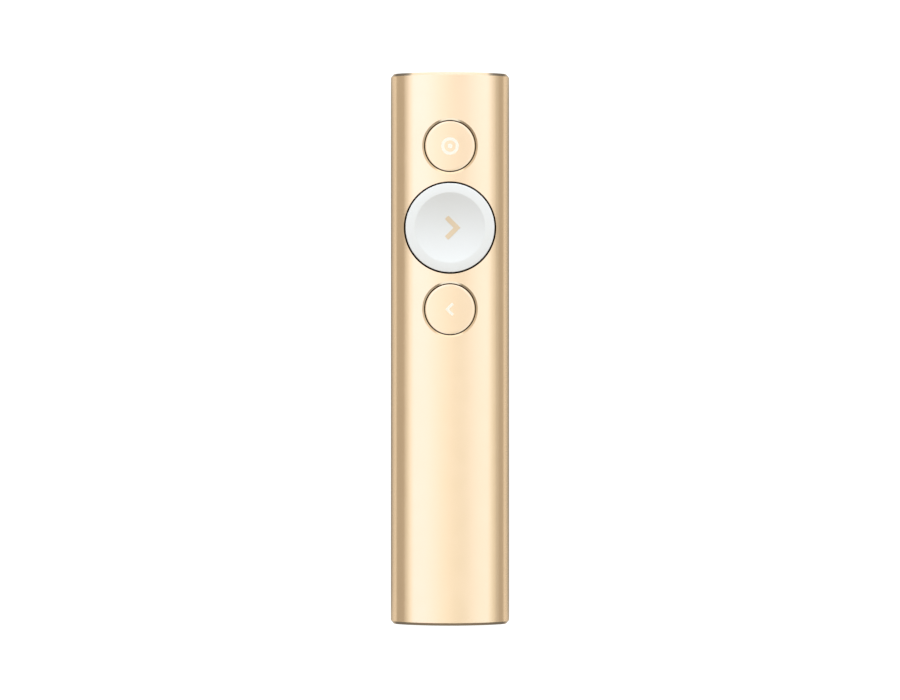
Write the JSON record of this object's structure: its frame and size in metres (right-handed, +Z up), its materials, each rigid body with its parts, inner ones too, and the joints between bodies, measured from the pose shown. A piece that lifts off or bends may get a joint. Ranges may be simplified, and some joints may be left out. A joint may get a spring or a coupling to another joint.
{
  "type": "wireless presentation clicker",
  "caption": "Slim gold aluminium presentation clicker with round push buttons on its face and a slide-out USB receiver stored in the tail.",
  "frame": {"origin": "centre of the footprint, on the resting face of the back", "axes": "+X to the right across the body, +Y along the body towards the nose, +Z up out of the button face"},
  "size_m": [0.0282, 0.1314, 0.0121],
  "materials": {
    "anodised_aluminium": "satin champagne-gold anodised",
    "cap_aluminium": "satin champagne-gold anodised, turned",
    "white_abs": "satin white moulded",
    "bronze_plastic": "matt bronze moulded",
    "charcoal_plastic": "matt charcoal moulded",
    "black_plastic": "fine matt black moulded",
    "natural_plastic": "natural unpainted moulded",
    "plunger_plastic": "amber moulded",
    "carrier_plastic": "white moulded",
    "circuit_board": "green solder resist",
    "chip_resin": "matt epoxy",
    "tinned_steel": "tinned, satin",
    "screw_steel": "zinc plated",
    "ceramic": "fired ceramic",
    "cell_foil": "laminate pouch",
    "foam_tape": "white foam tape",
    "lead_rubber": "extruded insulation",
    "flex_film": "polyimide film",
    "gold_contacts": "gold plated"
  },
  "bodies": {
    "housing": {"housing_sleeve": "anodised_aluminium", "nose_cap": "bronze_plastic", "chassis_tray": "charcoal_plastic", "key_frame": "black_plastic", "board_screws": "screw_steel", "dock_screws": "screw_steel", "main_board": "circuit_board", "radio_chip": "chip_resin", "radio_shield": "tinned_steel", "motion_sensor": "chip_resin", "power_chip": "chip_resin", "timing_crystal": "tinned_steel", "board_capacitors": "ceramic", "antenna": "ceramic", "usb_c_shell": "tinned_steel", "usb_c_tongue": "black_plastic", "battery_cell": "cell_foil", "battery_pad": "foam_tape", "battery_leads": "lead_rubber", "battery_connector": "natural_plastic", "vibration_motor": "tinned_steel", "motor_pad": "foam_tape", "motor_flex": "flex_film", "receiver_dock": "charcoal_plastic", "pointer_switch": "black_plastic", "next_switch": "black_plastic", "back_switch": "black_plastic"},
    "pointer_key": {"pointer_button": "cap_aluminium", "pointer_base": "natural_plastic", "pointer_plunger": "plunger_plastic"},
    "next_key": {"next_button": "white_abs", "next_base": "natural_plastic", "next_plunger": "plunger_plastic"},
    "back_key": {"back_button": "cap_aluminium", "back_base": "natural_plastic", "back_plunger": "plunger_plastic"},
    "receiver": {"receiver_case": "black_plastic", "receiver_board": "circuit_board", "receiver_chip": "chip_resin", "receiver_plug_shell": "tinned_steel", "receiver_tongue": "carrier_plastic", "receiver_contacts": "gold_contacts"}
  },
  "joints": [
    {"name": "pointer_press", "type": "slide", "parent": "housing", "child": "pointer_key", "axis": [0, 0, -1], "range_m": [0, 0.0005], "stiffness_N_per_m": 3000},
    {"name": "next_press", "type": "slide", "parent": "housing", "child": "next_key", "axis": [0, 0, -1], "range_m": [0, 0.0005], "stiffness_N_per_m": 3000},
    {"name": "back_press", "type": "slide", "parent": "housing", "child": "back_key", "axis": [0, 0, -1], "range_m": [0, 0.0005], "stiffness_N_per_m": 3000},
    {"name": "receiver_slide", "type": "slide", "parent": "housing", "child": "receiver", "axis": [0, -1, 0], "range_m": [0, 0.042]}
  ]
}
